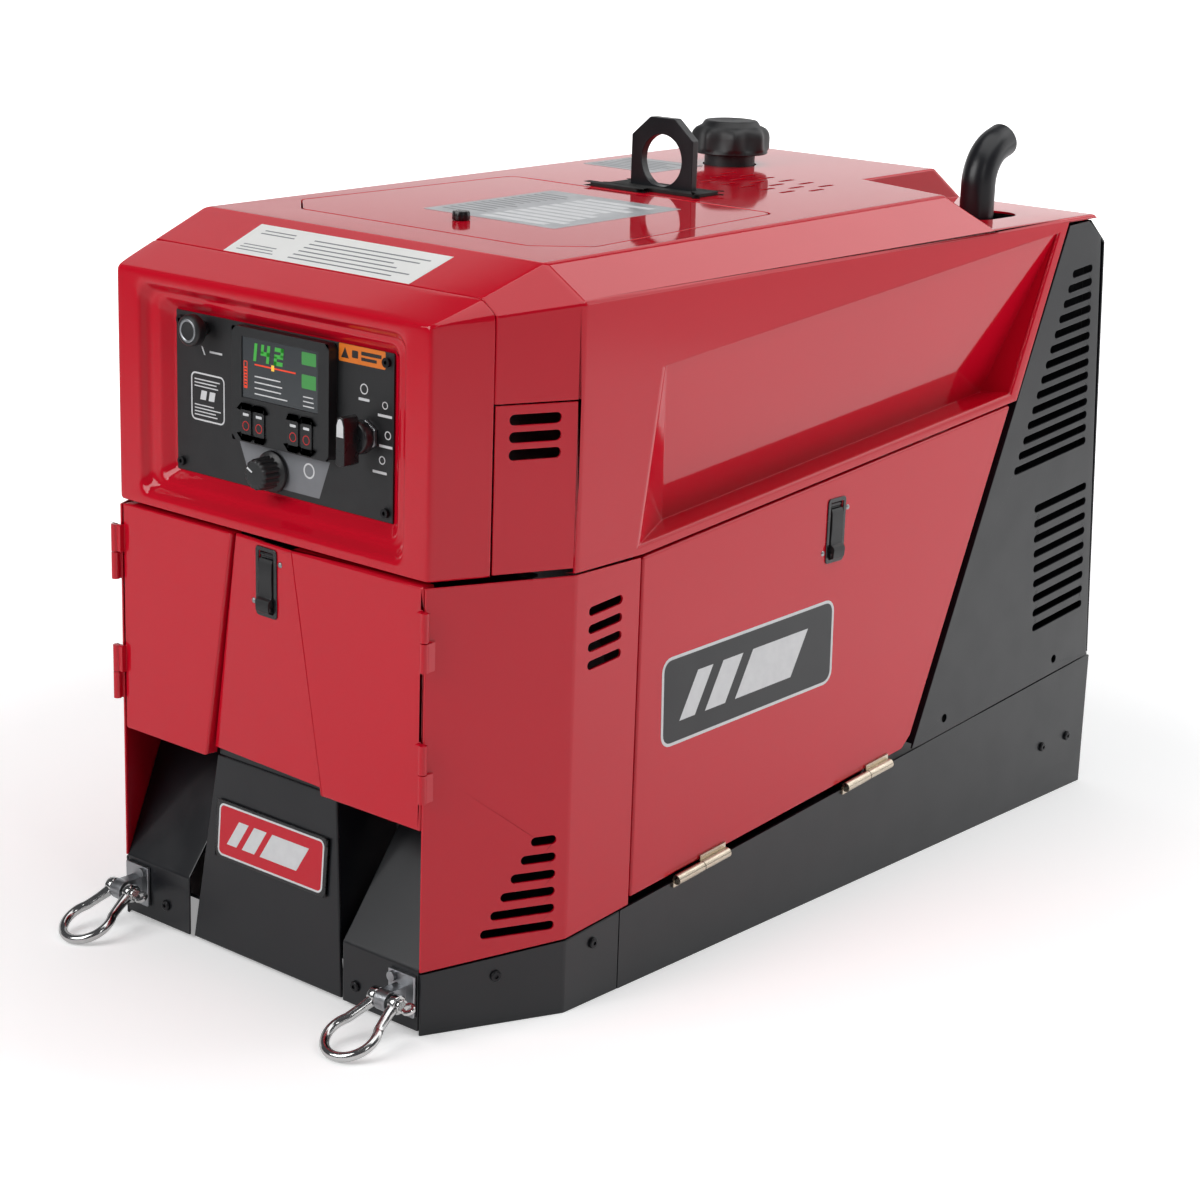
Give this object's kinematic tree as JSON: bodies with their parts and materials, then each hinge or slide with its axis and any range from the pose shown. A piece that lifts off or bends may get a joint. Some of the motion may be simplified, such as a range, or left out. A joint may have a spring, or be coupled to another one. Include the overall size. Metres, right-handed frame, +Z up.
{
  "type": "engine driven welder",
  "caption": "Engine driven welder generator in a sheet metal enclosure with display panel, hinged doors, roof hatch, lifting eye, exhaust elbow and tie-down shackles.",
  "frame": {"origin": "on the floor, at the centre of the four base bolt holes", "axes": "+X right as seen from the front, +Y towards the rear, +Z up"},
  "size_m": [0.5672, 1.1764, 0.8022],
  "materials": {
    "red_paint": "glossy powder coat",
    "black_paint": "satin powder coat",
    "black_plastic": "fine moulded texture",
    "gloss_black": "smooth",
    "screen_glass": "anti-glare",
    "rubber": "matt",
    "nickel": "nickel plated",
    "chrome": "polished",
    "steel": "machined",
    "cast_aluminium": "as cast",
    "copper_iron": "varnished windings and laminations",
    "tank_plastic": "moulded",
    "brass": "plated"
  },
  "bodies": {
    "chassis": {"base_frame": "black_paint", "skirt_rails": "black_paint", "skirt_front_wraps": "black_paint", "rear_side_panels": "black_paint", "rear_panel": "black_paint", "front_apron": "black_paint", "cable_guides": "black_paint", "apron_badge": "gloss_black", "body_screws": "gloss_black", "corner_panel_lower_right": "red_paint", "corner_panel_lower_left": "red_paint", "corner_panels_upper": "red_paint", "hood_shell": "red_paint", "front_bezel": "red_paint", "control_panel": "black_plastic", "display_housing": "black_plastic", "display_screen": "screen_glass", "lift_eye": "black_paint", "lift_eye_gasket": "rubber", "fuel_tank": "tank_plastic", "exhaust_pipe": "black_paint", "muffler": "steel", "engine_block": "cast_aluminium", "engine_cylinders": "cast_aluminium", "blower_housing": "black_paint", "stator_housing": "cast_aluminium", "isolators": "rubber", "air_cleaner": "tank_plastic", "battery": "tank_plastic", "weld_module": "cast_aluminium", "output_panel": "black_paint", "output_studs": "brass", "receptacles": "gloss_black", "side_hinge_fixed": "nickel", "shackle_brackets": "steel"},
    "front_door_left": {"front_door_left": "red_paint"},
    "front_door_right": {"front_door_right": "red_paint"},
    "front_latch": {"latch_paddle_front": "gloss_black"},
    "side_door_right": {"side_door_right": "red_paint", "side_hinge_moving_right": "nickel"},
    "side_door_left": {"side_door_left": "red_paint", "side_hinge_moving_left": "nickel"},
    "latch_right": {"latch_paddle_right": "gloss_black"},
    "latch_left": {"latch_paddle_left": "gloss_black"},
    "roof_hatch": {"roof_hatch": "red_paint"},
    "hatch_knob": {"hatch_knob": "black_plastic"},
    "fuel_cap": {"fuel_cap": "black_plastic"},
    "encoder_knob": {"encoder_knob": "black_plastic"},
    "selector_knob": {"selector_knob": "gloss_black"},
    "choke_knob": {"choke_knob": "black_plastic"},
    "button_1": {"button_1": "gloss_black"},
    "button_2": {"button_2": "gloss_black"},
    "button_3": {"button_3": "gloss_black"},
    "button_4": {"button_4": "gloss_black"},
    "shackle_left": {"shackle_bow_left": "chrome", "shackle_pin_left": "chrome"},
    "shackle_right": {"shackle_bow_right": "chrome", "shackle_pin_right": "chrome"},
    "engine_shaft": {"crankshaft": "steel", "rotor": "copper_iron"}
  },
  "joints": [
    {"name": "front_door_left_hinge", "type": "hinge", "parent": "chassis", "child": "front_door_left", "pos_m": [-0.215, -0.5446, 0.32], "axis": [0, 0, -1], "range_deg": [0, 110]},
    {"name": "front_door_right_hinge", "type": "hinge", "parent": "chassis", "child": "front_door_right", "pos_m": [0.215, -0.5446, 0.32], "axis": [0, 0, 1], "range_deg": [0, 110]},
    {"name": "front_latch_pull", "type": "hinge", "parent": "front_door_right", "child": "front_latch", "pos_m": [0, -0.535, 0.4245], "axis": [-1, 0, 0], "range_deg": [0, 35], "stiffness_Nm_per_rad": 0.02},
    {"name": "side_door_right_hinge", "type": "hinge", "parent": "chassis", "child": "side_door_right", "pos_m": [0.2784, -0.064, 0.10995], "axis": [0, 0.9959, 0.0901], "range_deg": [0, 95]},
    {"name": "side_door_left_hinge", "type": "hinge", "parent": "chassis", "child": "side_door_left", "pos_m": [-0.2784, -0.064, 0.10995], "axis": [0, -0.9959, -0.0901], "range_deg": [0, 95]},
    {"name": "latch_right_pull", "type": "hinge", "parent": "side_door_right", "child": "latch_right", "pos_m": [0.2698, -0.002, 0.4355], "axis": [0, -1, 0], "range_deg": [0, 35], "stiffness_Nm_per_rad": 0.02},
    {"name": "latch_left_pull", "type": "hinge", "parent": "side_door_left", "child": "latch_left", "pos_m": [-0.2698, -0.002, 0.4355], "axis": [0, 1, 0], "range_deg": [0, 35], "stiffness_Nm_per_rad": 0.02},
    {"name": "roof_hatch_hinge", "type": "hinge", "parent": "chassis", "child": "roof_hatch", "pos_m": [0, -0.011, 0.72452], "axis": [-1, 0, 0], "range_deg": [0, 80]},
    {"name": "hatch_knob_turn", "type": "hinge", "parent": "roof_hatch", "child": "hatch_knob", "pos_m": [0.003, -0.284, 0.72007], "axis": [0, -0.0163, 0.9999], "range_deg": [0, 90]},
    {"name": "fuel_cap_turn", "type": "hinge", "parent": "chassis", "child": "fuel_cap", "pos_m": [-0.09, 0.26, 0.755], "axis": [0, 0, 1], "continuous": true},
    {"name": "encoder_turn", "type": "hinge", "parent": "chassis", "child": "encoder_knob", "pos_m": [-0.009, -0.53, 0.5015], "axis": [0, 1, 0], "continuous": true},
    {"name": "selector_turn", "type": "hinge", "parent": "chassis", "child": "selector_knob", "pos_m": [0.115, -0.53, 0.557], "axis": [0, 1, 0], "range_deg": [0, 120]},
    {"name": "choke_pull", "type": "slide", "parent": "chassis", "child": "choke_knob", "axis": [0, -1, 0], "range_m": [0, 0.03]},
    {"name": "button_1_press", "type": "slide", "parent": "chassis", "child": "button_1", "axis": [0, 1, 0], "range_m": [0, 0.0012], "stiffness_N_per_m": 600},
    {"name": "button_2_press", "type": "slide", "parent": "chassis", "child": "button_2", "axis": [0, 1, 0], "range_m": [0, 0.0012], "stiffness_N_per_m": 600},
    {"name": "button_3_press", "type": "slide", "parent": "chassis", "child": "button_3", "axis": [0, 1, 0], "range_m": [0, 0.0012], "stiffness_N_per_m": 600},
    {"name": "button_4_press", "type": "slide", "parent": "chassis", "child": "button_4", "axis": [0, 1, 0], "range_m": [0, 0.0012], "stiffness_N_per_m": 600},
    {"name": "shackle_left_swing", "type": "hinge", "parent": "chassis", "child": "shackle_left", "pos_m": [-0.1905, -0.563, 0.0378], "axis": [-1, 0, 0], "range_deg": [0, 125]},
    {"name": "shackle_right_swing", "type": "hinge", "parent": "chassis", "child": "shackle_right", "pos_m": [0.1905, -0.563, 0.0378], "axis": [-1, 0, 0], "range_deg": [0, 125]},
    {"name": "engine_shaft_turn", "type": "hinge", "parent": "chassis", "child": "engine_shaft", "pos_m": [0, 0.06, 0.235], "axis": [0, 1, 0], "continuous": true}
  ]
}
